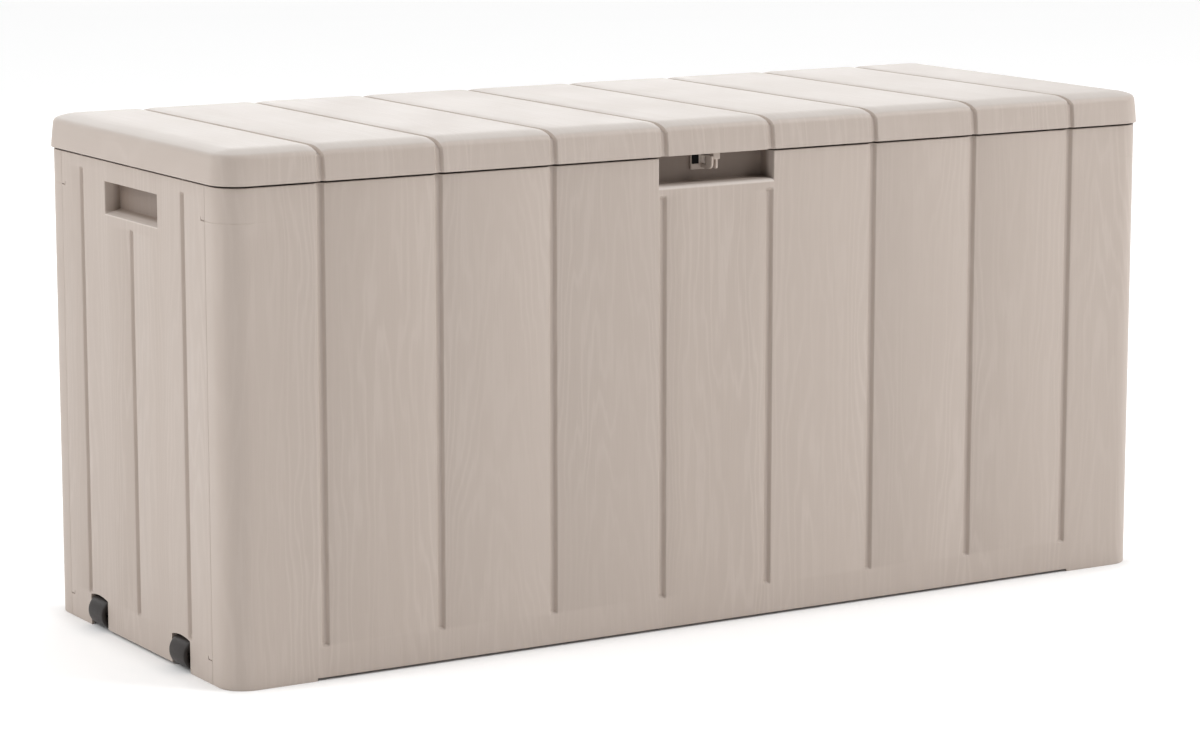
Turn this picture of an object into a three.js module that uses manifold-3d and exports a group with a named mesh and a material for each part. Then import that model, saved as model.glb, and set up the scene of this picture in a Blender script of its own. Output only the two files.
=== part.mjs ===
// Deck storage box: four plank-moulded wall panels that clip together round a two-piece floor,
// a hinged lid with a padlock hasp, and two rollers at the left-hand end.
// Millimetres, +Z up, front towards -Y, origin on the ground under the middle of the box.
import * as THREE from "three";
import { mergeVertices } from "three/addons/utils/BufferGeometryUtils.js";
import Module from "manifold-3d";

const wasm = await Module();
wasm.setup();

// ---------------------------------------------------------------- driving dimensions
const LENGTH = 1200; // over the lid
const DEPTH = 460; // over the lid
const HEIGHT = 565; // to the top of the lid's planks
const LID_OVERHANG = 3; // lid beyond the walls, on every side
const WALL = 3; // moulded wall thickness
const GAP = 0.35; // clearance between neighbouring pieces

const BODY_X = LENGTH / 2 - LID_OVERHANG; // outer face of the end walls
const BODY_Y = DEPTH / 2 - LID_OVERHANG; // outer face of the front and back walls
const RIM_Z = 526; // top of the walls
const LID_Z = 528; // bottom edge of the lid's skirt
const CORNER_R = 30; // vertical corners of the walls
const SEAM_Y = 183; // seam between a wall's return and the end panel
const STEP_Z = 3; // the walls stand this far off the ground between their feet
const FOOT_X = 496; // inner end of the feet on the long walls

const PLANK = 139; // pitch of the planks on the long walls and on the lid
const PLANK_GROOVES = 8;
const GROOVE_HALF = 4.75; // half width of a groove at the face
const GROOVE_FLOOR = 2.6; // half width of its floor
const GROOVE_DEPTH = 4;
const GROOVE_END_Z = 36; // lower end of a groove
const END_SLOPE = 4; // height over which a groove's end runs out

const RECESS_HALF = PLANK / 2 + GROOVE_HALF + 1; // finger recess in the middle of the front wall
const RECESS_Z = 495.5;
const RECESS_DEPTH = 27;
const RECESS_LAND = 10; // plain strip between the recess and the grooves below it

const SIDE_GROOVE_Y = 129; // outer grooves of an end panel; the third one is in the middle
const SIDE_GROOVE_TOP = 513;
const HANDLE_HALF = 67; // grip pocket in each end panel
const HANDLE_Z = [469, 504];
const HANDLE_DEPTH = 18;
const POCKET_DRAFT = 1.5;

const ROLLER_R = 18;
const ROLLER_HALF = 20; // half width
const ROLLER_Y = 106;
const ROLLER_PROUD = 6; // the rollers stand this far out of the end wall
const ROLLER_X = -BODY_X - ROLLER_PROUD + ROLLER_R;
const ROLLER_Z = ROLLER_R + 0.4;
const ARCH_HALF = 22.5; // opening in the end wall for a roller
const ARCH_Z = 35;
const AXLE_R = 3;
const CENTRING = (ROLLER_PROUD - LID_OVERHANG) / 2; // the rollers reach past the lid at the left-hand end

const HINGE_Y = 223; // hinge axis
const HINGE_Z = 521;
const HINGE_X = [-417, 0, 417];
const HINGE_HALF = 30; // half width of a hinge bracket
const KNUCKLE_R = 5;
const KNUCKLE_HALF = 12; // half width of the lid's knuckle
const HINGE_PIN_R = 2;
const BRACKET = 3.5; // thickness of a hinge bracket's plate
const NOTCH_Z = 509; // notch in the back wall behind each hinge

const LID_CORNER_R = 33;
const LID_ROUND = 11; // rounding between the skirt and the top
const LID_DRAFT = 2.5; // the skirt leans in by this much
const PLANK_CROWN = 1.5; // a lid plank stands this far above the edges of its grooves
const SHOULDER = 14; // from a groove's centreline to the flat of the plank beside it
const RIB = 2.5; // thickness of a rib

const FLOOR_Z = 10; // underside of the floor plate
const LEDGE = 12; // ledge inside each long wall that carries the floor

const SCREW_HOLE_R = 2.2;
const SCREW_GAP = 0.05; // under a screw's head

// ---------------------------------------------------------------- materials
const plastic = (color, roughness) => new THREE.MeshStandardMaterial({ color, roughness, metalness: 0 });
const taupe = plastic(0xbdb1a7, 0.55);
const taupeInner = plastic(0xb3a79c, 0.6);
const darkPlastic = plastic(0x3c3634, 0.5);
const steel = new THREE.MeshStandardMaterial({ color: 0xb8babd, roughness: 0.35, metalness: 1 });

// ---------------------------------------------------------------- solids and booleans
function solid(geometry) {
  const bare = geometry.clone();
  for (const name of Object.keys(bare.attributes)) if (name !== "position") bare.deleteAttribute(name);
  const merged = mergeVertices(bare, 1e-4);
  const mesh = { numProp: 3, vertProperties: merged.attributes.position.array };
  mesh.triVerts = new Uint32Array(merged.index.array);
  return new wasm.Manifold(new wasm.Mesh(mesh));
}

function geometryOf(manifold) {
  const mesh = manifold.getMesh();
  const made = new THREE.BufferGeometry();
  made.setAttribute("position", new THREE.BufferAttribute(mesh.vertProperties, 3));
  made.setIndex(new THREE.BufferAttribute(mesh.triVerts, 1));
  return made;
}

const joined = (solids) => solids.reduce((sum, s) => sum.add(s));
const without = (body, cutters) => cutters.reduce((rest, s) => rest.subtract(s), body);

// A box from its two corners.
function box([x0, y0, z0], [x1, y1, z1]) {
  const made = new THREE.BoxGeometry(x1 - x0, y1 - y0, z1 - z0);
  return solid(made.translate((x0 + x1) / 2, (y0 + y1) / 2, (z0 + z1) / 2));
}

// A cylinder round a line along X, Y or Z through centre.
function rod(axis, centre, radius, length, sides = 20) {
  const made = new THREE.CylinderGeometry(radius, radius, length, sides);
  if (axis === "x") made.rotateZ(Math.PI / 2);
  if (axis === "z") made.rotateX(Math.PI / 2);
  return solid(made.translate(...centre));
}

// A closed shell between two grids of points with the same rows and columns.
function gridShell(rows, columns, outer, inner) {
  const points = [];
  for (const side of [outer, inner])
    for (let i = 0; i < rows; i++) for (let j = 0; j < columns; j++) points.push(...side(i, j));
  const at = (side, i, j) => side * rows * columns + i * columns + j;
  const faces = [];
  const quad = (a, b, c, d) => faces.push(a, b, c, a, c, d);
  for (let i = 0; i + 1 < rows; i++)
    for (let j = 0; j + 1 < columns; j++) {
      quad(at(0, i, j), at(0, i, j + 1), at(0, i + 1, j + 1), at(0, i + 1, j));
      quad(at(1, i, j), at(1, i + 1, j), at(1, i + 1, j + 1), at(1, i, j + 1));
    }
  for (let j = 0; j + 1 < columns; j++) {
    quad(at(0, 0, j), at(1, 0, j), at(1, 0, j + 1), at(0, 0, j + 1));
    quad(at(0, rows - 1, j), at(0, rows - 1, j + 1), at(1, rows - 1, j + 1), at(1, rows - 1, j));
  }
  for (let i = 0; i + 1 < rows; i++) {
    quad(at(0, i, 0), at(0, i + 1, 0), at(1, i + 1, 0), at(1, i, 0));
    quad(at(0, i, columns - 1), at(1, i, columns - 1), at(1, i + 1, columns - 1), at(0, i + 1, columns - 1));
  }
  const made = new THREE.BufferGeometry();
  made.setAttribute("position", new THREE.Float32BufferAttribute(points, 3));
  made.setIndex(faces);
  return solid(made);
}

// ---------------------------------------------------------------- plank grooves
const clamp01 = (t) => Math.min(1, Math.max(0, t));
const plankGrooves = Array.from({ length: PLANK_GROOVES }, (_, i) => (i - (PLANK_GROOVES - 1) / 2) * PLANK);

// Share of the full groove depth at a distance across the groove's centreline.
const grooveShare = (across) => clamp01((GROOVE_HALF - Math.abs(across)) / (GROOVE_HALF - GROOVE_FLOOR));

// The stations across one groove: its two lips and the two edges of its floor.
const grooveStations = (centre) =>
  [-GROOVE_HALF, -GROOVE_FLOOR, GROOVE_FLOOR, GROOVE_HALF].map((offset) => centre + offset);

const nearest = (value, list) => list.reduce((a, b) => (Math.abs(b - value) < Math.abs(a - value) ? b : a));

// ---------------------------------------------------------------- long walls
const isMiddleGroove = (centre) => Math.abs(centre) < PLANK;

// Depth of the front or back face below its flat plane at (x, z). The front's middle grooves stop below the recess.
function longWallDepth(x, z, isFront) {
  const centre = nearest(x, plankGrooves);
  const fromTop = isFront && isMiddleGroove(centre) ? RECESS_Z - RECESS_LAND - z : Infinity;
  const along = clamp01((z - GROOVE_END_Z) / END_SLOPE) * clamp01(fromTop / END_SLOPE);
  return grooveShare(x - centre) * along * GROOVE_DEPTH;
}

// Stations round a long wall in plan, from its left return to its right one, seen from outside.
function longWallStations() {
  const flat = new Set(plankGrooves.flatMap(grooveStations));
  for (const x of [FOOT_X, FOOT_X - 0.5]) flat.add(x).add(-x);
  const arc = Array.from({ length: 6 }, (_, i) => (i / 5) * (Math.PI / 2));
  const cx = BODY_X - CORNER_R;
  const cy = BODY_Y - CORNER_R;
  const corner = (angle, side) => ({
    p: [side * (cx + CORNER_R * Math.cos(angle)), -(cy + CORNER_R * Math.sin(angle))],
    n: [side * Math.cos(angle), -Math.sin(angle)],
  });
  return [
    { p: [-BODY_X, -SEAM_Y], n: [-1, 0] },
    ...arc.map((a) => corner(a, -1)),
    ...[...flat].sort((a, b) => a - b).map((x) => ({ p: [x, -BODY_Y], n: [0, -1], x })),
    ...arc.reverse().map((a) => corner(a, 1)),
    { p: [BODY_X, -SEAM_Y], n: [1, 0] },
  ];
}

function longWall(isFront) {
  const stations = longWallStations();
  const levels = [0, GROOVE_END_Z, GROOVE_END_Z + END_SLOPE];
  if (isFront) levels.push(RECESS_Z - RECESS_LAND - END_SLOPE, RECESS_Z - RECESS_LAND);
  levels.push(RIM_Z);
  const point = (extra) => (i, j) => {
    const { p, n, x } = stations[j];
    const onFlat = x !== undefined;
    const z = i > 0 ? levels[i] : onFlat && Math.abs(x) < FOOT_X - 0.1 ? STEP_Z : 0;
    const depth = (onFlat ? longWallDepth(x, z, isFront) : 0) + extra;
    return [p[0] - n[0] * depth, p[1] - n[1] * depth, z];
  };
  return gridShell(levels.length, stations.length, point(0), point(WALL));
}

// The ledge along the inside of a long wall.
const ledge = () => box([-540, -BODY_Y + 2, FLOOR_Z - 4], [540, -BODY_Y + WALL + GROOVE_DEPTH + LEDGE, FLOOR_Z - GAP]);

function frontPanel() {
  const opening = box([-RECESS_HALF, -BODY_Y - 5, RECESS_Z], [RECESS_HALF, -BODY_Y + 10, RIM_Z + 5]);
  return geometryOf(longWall(true).add(ledge()).subtract(opening));
}

// The tray behind the opening in the front wall that makes the finger recess.
function recessTray() {
  const back = -BODY_Y + RECESS_DEPTH;
  const outer = [RECESS_HALF + WALL, back + WALL, RIM_Z];
  const block = box([-outer[0], -BODY_Y + WALL + GAP, RECESS_Z - WALL], outer);
  const room = box([-RECESS_HALF, -BODY_Y - 5, RECESS_Z], [RECESS_HALF, back, RIM_Z + 5]);
  const pilot = rod("y", [EYE_SCREW_X, EYE_Y, EYE_SCREW_Z], SCREW_HOLE_R, 20, 12);
  return geometryOf(without(block, [room, pilot]));
}

function backPanel() {
  const notches = HINGE_X.map((x) =>
    box([-x - HINGE_HALF - 3, -BODY_Y - 10, NOTCH_Z], [-x + HINGE_HALF + 3, -BODY_Y + 20, RIM_Z + 5]),
  );
  const holes = HINGE_X.flatMap((x) =>
    screwOffsets.map((dx) => rod("y", [-x + dx, -BODY_Y, SCREW_Z], SCREW_HOLE_R, 40, 12)),
  );
  return geometryOf(without(longWall(false).add(ledge()), [...notches, ...holes])).rotateZ(Math.PI);
}

// ---------------------------------------------------------------- end panels
// Depth of an end panel's face at (y, z).
function endPanelDepth(y, z) {
  const [low, high] = HANDLE_Z;
  const across = clamp01((HANDLE_HALF - Math.abs(y)) / POCKET_DRAFT);
  const upright = clamp01((z - low) / (3 * POCKET_DRAFT)) * clamp01((high - z) / POCKET_DRAFT);
  const centre = nearest(y, [-SIDE_GROOVE_Y, 0, SIDE_GROOVE_Y]);
  const top = centre === 0 ? low - RECESS_LAND : SIDE_GROOVE_TOP;
  const along = clamp01((z - GROOVE_END_Z) / END_SLOPE) * clamp01((top - z) / END_SLOPE);
  return Math.max(across * upright * HANDLE_DEPTH, grooveShare(y - centre) * along * GROOVE_DEPTH);
}

function endPanelStations() {
  const edge = SEAM_Y - GAP;
  const marks = new Set([-edge, edge, ...[-SIDE_GROOVE_Y, 0, SIDE_GROOVE_Y].flatMap(grooveStations)]);
  for (const y of [HANDLE_HALF, HANDLE_HALF - POCKET_DRAFT]) marks.add(y).add(-y);
  for (const y of [ROLLER_Y - ARCH_HALF, ROLLER_Y + ARCH_HALF]) marks.add(y).add(-y);
  return [...marks].sort((a, b) => b - a);
}

// The wall of the left-hand end panel, with its tongues behind the long walls' returns.
function endWall() {
  const stations = endPanelStations();
  const [low, high] = HANDLE_Z;
  const levels = [STEP_Z, GROOVE_END_Z, GROOVE_END_Z + END_SLOPE, low - RECESS_LAND - END_SLOPE, low - RECESS_LAND];
  levels.push(low, low + 3 * POCKET_DRAFT, high - POCKET_DRAFT, high);
  levels.push(SIDE_GROOVE_TOP - END_SLOPE + 1, SIDE_GROOVE_TOP + 1, RIM_Z);
  const point = (extra) => (i, j) => {
    const depth = endPanelDepth(stations[j], levels[i]) + extra;
    return [-BODY_X + depth, stations[j], levels[i]];
  };
  const wall = gridShell(levels.length, stations.length, point(0), point(WALL));
  const inside = -BODY_X + WALL;
  const tongues = [-1, 1].flatMap((side) => {
    const spans = [
      [inside - 0.5, SEAM_Y - 12, SEAM_Y - GAP],
      [inside + GAP, SEAM_Y - 2, SEAM_Y + 11],
    ];
    return spans.map(([x, y0, y1]) => {
      const [a, b] = side > 0 ? [y0, y1] : [-y1, -y0];
      return box([x, a, 16], [inside + GAP + 2.4, b, RIM_Z - 8]);
    });
  });
  const slits = [26, 488].flatMap((z) =>
    [-1, 1].map((side) => {
      const y = side * (SEAM_Y - 6);
      return box([-BODY_X - 1, y - 4.5, z - 0.7], [-BODY_X + 1.6, y + 4.5, z + 0.7]);
    }),
  );
  return without(joined([wall, ...tongues]), slits);
}

// A shoe for one roller: two cheeks, a back and a roof behind the opening in the end wall.
function rollerShoe(y) {
  const half = ARCH_HALF + WALL;
  const back = ROLLER_X + ROLLER_R + 3;
  const top = ROLLER_Z + ROLLER_R + 3;
  const shell = box([-BODY_X + 0.5, y - half, STEP_Z], [back + WALL, y + half, top + WALL]);
  const hollow = box([-BODY_X - 5, y - ARCH_HALF, -5], [back, y + ARCH_HALF, top]);
  const bore = rod("y", [ROLLER_X, y, ROLLER_Z], AXLE_R + 0.2, 4 * ARCH_HALF, 16);
  return { shell, cuts: [hollow, bore] };
}

function leftEndPanel() {
  const shoes = [-ROLLER_Y, ROLLER_Y].map(rollerShoe);
  const openings = [-ROLLER_Y, ROLLER_Y].map((y) =>
    box([-BODY_X - 5, y - ARCH_HALF, -5], [-BODY_X + WALL + 1, y + ARCH_HALF, ARCH_Z]),
  );
  const shells = shoes.map(({ shell, cuts }) => without(shell, cuts));
  const bores = shoes.map(({ cuts }) => cuts[1]);
  const feet = endFeet();
  return geometryOf(without(joined([without(endWall(), openings), ...shells, ...feet]), bores));
}

// The end panel reaches the ground outside the two rollers.
function endFeet() {
  const inner = ROLLER_Y + ARCH_HALF;
  return [-1, 1].map((side) => {
    const [a, b] = side > 0 ? [inner, SEAM_Y - GAP] : [-SEAM_Y + GAP, -inner];
    return box([-BODY_X, a, 0], [-BODY_X + WALL, b, STEP_Z + 1]);
  });
}

const rightEndPanel = () => geometryOf(joined([endWall(), ...endFeet()])).rotateZ(Math.PI);

// ---------------------------------------------------------------- floor
const FLOOR_X = BODY_X - WALL - GROOVE_DEPTH - 2;
const FLOOR_Y = BODY_Y - WALL - GROOVE_DEPTH - 2;

// One half of the floor: a plate on ribs that stand on the ground. The left half clears the roller shoes.
function floorHalf(side) {
  const [x0, x1] = side < 0 ? [-FLOOR_X, -GAP] : [GAP, FLOOR_X];
  const corner = CORNER_R;
  const outline = new THREE.Shape();
  const out = side * FLOOR_X;
  const inn = side * GAP;
  outline.moveTo(inn, -FLOOR_Y);
  outline.lineTo(out - side * corner, -FLOOR_Y);
  outline.quadraticCurveTo(out, -FLOOR_Y, out, -FLOOR_Y + corner);
  outline.lineTo(out, FLOOR_Y - corner);
  outline.quadraticCurveTo(out, FLOOR_Y, out - side * corner, FLOOR_Y);
  outline.lineTo(inn, FLOOR_Y);
  outline.closePath();
  const plate = new THREE.ExtrudeGeometry(outline, { depth: WALL, bevelEnabled: false, curveSegments: 6 });
  const parts = [solid(plate.translate(0, 0, FLOOR_Z))];
  const ribLow = 1;
  const reach = FLOOR_Y - corner;
  for (const y of [-reach, -reach / 3, reach / 3, reach])
    parts.push(box([x0 + 8, y - RIB / 2, ribLow], [x1 - 8, y + RIB / 2, FLOOR_Z + 1]));
  for (let i = 0; i < 5; i++) {
    const x = x0 + 12 + (i * (x1 - x0 - 24)) / 4;
    parts.push(box([x - RIB / 2, -reach - 8, ribLow], [x + RIB / 2, reach + 8, FLOOR_Z + 1]));
  }
  const shoeHalf = ARCH_HALF + WALL + 1;
  const shoeEnd = ROLLER_X + ROLLER_R + 3 + WALL + 1;
  const clear = [-ROLLER_Y, ROLLER_Y].map((y) => box([-BODY_X, y - shoeHalf, -5], [shoeEnd, y + shoeHalf, 60]));
  return geometryOf(side < 0 ? without(joined(parts), clear) : joined(parts));
}

// ---------------------------------------------------------------- rollers
function roller() {
  const bore = AXLE_R + 0.25;
  const profile = [
    [bore, -ROLLER_HALF],
    [7, -ROLLER_HALF],
    [8, -ROLLER_HALF + 5],
    [ROLLER_R - 4, -ROLLER_HALF + 5],
    [ROLLER_R - 3, -ROLLER_HALF],
    [ROLLER_R - 1.5, -ROLLER_HALF],
    [ROLLER_R, -ROLLER_HALF + 1.5],
  ];
  const mirrored = profile.map(([r, w]) => [r, -w]).reverse();
  const points = [...profile, ...mirrored, profile[0]].map(([r, w]) => new THREE.Vector2(r, w));
  return new THREE.LatheGeometry(points, 32);
}

function axle() {
  const half = ARCH_HALF + WALL + 1.5;
  return geometryOf(
    joined([rod("y", [0, 0, 0], AXLE_R, 2 * half, 16), rod("y", [0, half, 0], AXLE_R + 1.6, 1.6, 16)]),
  );
}

// ---------------------------------------------------------------- hinges
const SCREW_Z = 488;
const screwOffsets = [-18, 18];

function hingeBracket() {
  const face = BODY_Y - WALL - GAP;
  const plate = box([-HINGE_HALF, face - BRACKET, 474], [HINGE_HALF, face, 517]);
  const arms = [-1, 1].flatMap((side) => {
    const [a, b] = side > 0 ? [KNUCKLE_HALF + 1.2, HINGE_HALF] : [-HINGE_HALF, -KNUCKLE_HALF - 1.2];
    const barrel = rod("x", [(a + b) / 2, HINGE_Y, HINGE_Z], KNUCKLE_R, b - a);
    return [barrel, box([a, face - BRACKET, 510], [b, face, HINGE_Z])];
  });
  const window = box([-KNUCKLE_HALF - 1.2, face - 10, HINGE_Z - 10], [KNUCKLE_HALF + 1.2, face + 10, HINGE_Z + 10]);
  const bore = rod("x", [0, HINGE_Y, HINGE_Z], HINGE_PIN_R + 0.3, 3 * HINGE_HALF, 16);
  const holes = screwOffsets.map((dx) => rod("y", [dx, face, SCREW_Z], SCREW_HOLE_R, 40, 12));
  return geometryOf(without(joined([plate, ...arms]), [window, bore, ...holes]));
}

const hingePin = () => geometryOf(rod("x", [0, 0, 0], HINGE_PIN_R, 2 * HINGE_HALF + 2, 16));

// A pan-head screw along +Y, with its head's underside at the origin.
function screw(length) {
  return geometryOf(
    joined([rod("y", [0, length / 2 - 0.5, 0], 1.9, length, 12), rod("y", [0, -1.1, 0], 3.6, 2.2, 16)]),
  );
}

// ---------------------------------------------------------------- lid
const topOf = HEIGHT - PLANK_CROWN; // level of the planks' edges beside a groove

// Stations across the lid's planks: the edges of each groove and the shoulders of the planks beside it.
const lidAcross = plankGrooves.flatMap((x) => [x - SHOULDER, ...grooveStations(x), x + SHOULDER]);

// Stations round the lid in plan, anticlockwise from the front left. Each has a place on the outline, an
// outward normal, and on the long sides its x, so that the plank grooves can run over the edge.
function lidStations() {
  const straightX = LENGTH / 2 - LID_CORNER_R;
  const straightY = DEPTH / 2 - LID_CORNER_R;
  const xs = [-straightX, ...lidAcross, straightX];
  const arc = (cx, cy, from) =>
    [1, 2, 3, 4].map((i) => {
      const n = [Math.cos(from + i * (Math.PI / 10)), Math.sin(from + i * (Math.PI / 10))];
      return { p: [cx + LID_CORNER_R * n[0], cy + LID_CORNER_R * n[1]], n };
    });
  return [
    ...xs.map((x) => ({ p: [x, -DEPTH / 2], n: [0, -1], x })),
    ...arc(straightX, -straightY, -Math.PI / 2),
    { p: [LENGTH / 2, -straightY], n: [1, 0] },
    { p: [LENGTH / 2, straightY], n: [1, 0] },
    ...arc(straightX, straightY, 0),
    ...xs.reverse().map((x) => ({ p: [x, DEPTH / 2], n: [0, 1], x })),
    ...arc(-straightX, straightY, Math.PI / 2),
    { p: [-LENGTH / 2, straightY], n: [-1, 0] },
    { p: [-LENGTH / 2, -straightY], n: [-1, 0] },
    ...arc(-straightX, -straightY, Math.PI),
  ];
}

// How far a plank stands above the edges of its grooves at x.
function shoulderLift(x) {
  const off = Math.abs(x - nearest(x, plankGrooves));
  return PLANK_CROWN * clamp01((off - GROOVE_HALF) / (SHOULDER - GROOVE_HALF));
}

// The solid under the lid's outer surface, thickness inside it, down to the level low.
function lidSolid(thickness, low) {
  const stations = lidStations();
  const radius = LID_ROUND - thickness;
  const profile = [{ inset: thickness, z: low, out: 1, up: 0 }];
  for (const a of [0, 1, 2, 3].map((i) => (i * Math.PI) / 6)) {
    const inset = LID_DRAFT + LID_ROUND - radius * Math.cos(a);
    profile.push({ inset, z: topOf - LID_ROUND + radius * Math.sin(a), out: Math.cos(a), up: Math.sin(a) });
  }
  const points = profile.flatMap((ring) =>
    stations.flatMap(({ p, n, x }) => {
      const cut = x === undefined ? 0 : grooveShare(x - nearest(x, plankGrooves)) * GROOVE_DEPTH;
      const inset = ring.inset + cut * ring.out;
      const lift = x === undefined ? PLANK_CROWN : shoulderLift(x) - cut;
      return [p[0] - n[0] * inset, p[1] - n[1] * inset, ring.z + ring.up * lift];
    }),
  );
  const count = stations.length;
  const faces = [];
  const at = (ring, j) => ring * count + (j % count);
  for (let r = 0; r + 1 < profile.length; r++)
    for (let j = 0; j < count; j++) {
      faces.push(at(r, j), at(r, j + 1), at(r + 1, j + 1));
      faces.push(at(r, j), at(r + 1, j + 1), at(r + 1, j));
    }
  const across = lidAcross.length + 2; // stations along one long side
  const back = stations.findIndex(({ n }, j) => j >= across && n[1] === 1);
  const cap = (ring, triangle) => {
    for (let i = 0; i + 1 < across; i++) {
      const [a, b, c, d] = [i, i + 1, back + across - 2 - i, back + across - 1 - i].map((j) => at(ring, j));
      triangle(a, b, c);
      triangle(a, c, d);
    }
    for (let j = across; j < back; j++) triangle(at(ring, across - 1), at(ring, j), at(ring, j + 1));
    for (let j = back + across; j < count; j++) triangle(at(ring, back + across - 1), at(ring, j), at(ring, j + 1));
  };
  cap(profile.length - 1, (a, b, c) => faces.push(a, b, c));
  cap(0, (a, b, c) => faces.push(a, c, b));
  const made = new THREE.BufferGeometry();
  made.setAttribute("position", new THREE.Float32BufferAttribute(points, 3));
  made.setIndex(faces);
  return solid(made);
}

// Ribs under the lid. Those along the front and the ends reach down and rest on the rim of the walls.
function lidRibs() {
  const deep = 549;
  const seat = RIM_Z + GAP; // the lid rests on the end walls
  const stop = RIM_Z + 3 * GAP; // and its front edge stops just short of the front wall's rim
  const rib = (a, b) => box([a[0], a[1], deep], [b[0], b[1], HEIGHT]);
  const crossX = plankGrooves;
  const lines = crossX.map((x) => rib([x - RIB / 2, -DEPTH], [x + RIB / 2, DEPTH]));
  for (const y of [-130, 0, 130]) lines.push(rib([-LENGTH, y - RIB / 2], [LENGTH, y + RIB / 2]));
  const seats = [-130, 0, 130].flatMap((y) =>
    [-1, 1].map((side) => {
      const [a, b] = side > 0 ? [BODY_X - 10, BODY_X] : [-BODY_X, -BODY_X + 10];
      return box([a, y - RIB / 2, seat], [b, y + RIB / 2, HEIGHT]);
    }),
  );
  for (const x of crossX.filter((at) => Math.abs(at) > PLANK))
    seats.push(box([x - RIB / 2, -BODY_Y - 1, stop], [x + RIB / 2, -BODY_Y + 10, HEIGHT]));
  return joined([...lines, ...seats]).intersect(lidSolid(WALL / 2, seat));
}

// The lid's knuckle at one hinge, on a neck that comes down inside the back skirt.
function lidKnuckle(x) {
  const barrel = rod("x", [x, HINGE_Y, HINGE_Z], KNUCKLE_R, 2 * KNUCKLE_HALF);
  const neck = [x - KNUCKLE_HALF, HINGE_Y - 2.5, HINGE_Z];
  return joined([barrel, box(neck, [x + KNUCKLE_HALF, HINGE_Y + 2.5, topOf - 3])]);
}

function lid() {
  const shell = lidSolid(0, LID_Z).subtract(lidSolid(WALL, LID_Z - 5));
  const knuckles = HINGE_X.map(lidKnuckle);
  const boss = box([HASP_X - 16, -DEPTH / 2 + 2, 532], [HASP_X + 16, -DEPTH / 2 + 9, 556]);
  const inside = lidSolid(WALL / 2, HINGE_Z - 10);
  const fittings = joined([...knuckles, boss]).intersect(inside);
  const bores = HINGE_X.map((x) => rod("x", [x, HINGE_Y, HINGE_Z], HINGE_PIN_R + 0.3, 3 * HINGE_HALF, 16));
  const pilots = HASP_SCREWS.map((x) => rod("y", [x, -DEPTH / 2 + 10, HASP_SCREW_Z], SCREW_HOLE_R, 12, 12));
  return geometryOf(without(joined([shell, lidRibs(), fittings]), [...bores, ...pilots]));
}

// ---------------------------------------------------------------- hasp and padlock eye
const HASP_X = 1; // the hasp hangs just to the right of the eye
const HASP_Y = -DEPTH / 2 + 9 + GAP; // front face of the hasp's flange
const HASP_SCREWS = [HASP_X - 9, HASP_X + 9];
const HASP_SCREW_Z = 542;
const EYE_X = -5;
const EYE_Y = -BODY_Y + RECESS_DEPTH - GAP; // back face of the eye's foot, against the recess
const EYE_SCREW_X = EYE_X - 9;
const EYE_SCREW_Z = 516;
const PLATE = 3; // thickness of hasp and eye

// The hasp: a flange against the lid's boss and a narrow tongue that hangs into the finger recess.
function hasp() {
  const flange = box([HASP_X - 14, HASP_Y, 530], [HASP_X + 14, HASP_Y + PLATE, 552]);
  const head = box([HASP_X - 4.5, HASP_Y - 4, 520.5], [HASP_X + 4.5, HASP_Y + PLATE, 531]);
  const tongue = box([HASP_X - 1.4, HASP_Y - 4, 510.5], [HASP_X + 1.4, HASP_Y + 1, 521]);
  const holes = HASP_SCREWS.map((x) => rod("y", [x, HASP_Y, HASP_SCREW_Z], SCREW_HOLE_R, 30, 12));
  return geometryOf(without(joined([flange, head, tongue]), holes));
}

// The eye: a plate with a rounded nose that stands out from the back of the finger recess.
function padlockEye() {
  const [low, high] = [510, 525];
  const nose = EYE_Y - 25;
  const outline = new THREE.Shape();
  outline.moveTo(EYE_Y, low);
  outline.lineTo(EYE_Y, high);
  outline.lineTo(nose + 2, high);
  outline.quadraticCurveTo(nose, high, nose, high - 2);
  outline.lineTo(nose, low + 7);
  outline.quadraticCurveTo(nose, low, nose + 7, low);
  outline.closePath();
  const plate = new THREE.ExtrudeGeometry(outline, { depth: PLATE, bevelEnabled: false, curveSegments: 8 });
  // The outline's x is the box's y and its y is the height, so the plate is turned to stand across x.
  plate.applyMatrix4(new THREE.Matrix4().set(0, 0, 1, EYE_X - PLATE / 2, 1, 0, 0, 0, 0, 1, 0, 0, 0, 0, 0, 1));
  const foot = box([EYE_X - 14, EYE_Y - PLATE, low - 2], [EYE_X + 4.5, EYE_Y, high - 1]);
  const window = box([EYE_X - PLATE, EYE_Y - 13.5, low + 4.5], [EYE_X + PLATE, EYE_Y - PLATE - 0.5, high - 2]);
  const hole = rod("y", [EYE_SCREW_X, EYE_Y, EYE_SCREW_Z], SCREW_HOLE_R, 30, 12);
  return geometryOf(without(joined([solid(plate), foot]), [window, hole]));
}

// ---------------------------------------------------------------- assembly
const deckBox = new THREE.Group();

function add(parent, name, geometry, material, position = [0, 0, 0]) {
  const mesh = new THREE.Mesh(geometry, material);
  mesh.name = name;
  mesh.position.set(...position);
  parent.add(mesh);
  return mesh;
}

const walls = new THREE.Group();
walls.position.x = CENTRING;
deckBox.add(walls);
add(walls, "front_panel", frontPanel(), taupe);
add(walls, "finger_recess", recessTray(), taupe);
add(walls, "back_panel", backPanel(), taupe);
add(walls, "left_end_panel", leftEndPanel(), taupe);
add(walls, "right_end_panel", rightEndPanel(), taupe);
add(walls, "floor_left", floorHalf(-1), taupeInner);
add(walls, "floor_right", floorHalf(1), taupeInner);
add(walls, "padlock_eye", padlockEye(), taupe);

for (const [where, y] of [["front", -ROLLER_Y], ["back", ROLLER_Y]]) {
  add(walls, `roller_${where}`, roller(), darkPlastic, [ROLLER_X, y, ROLLER_Z]);
  add(walls, `roller_axle_${where}`, axle(), steel, [ROLLER_X, y, ROLLER_Z]);
}

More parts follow.
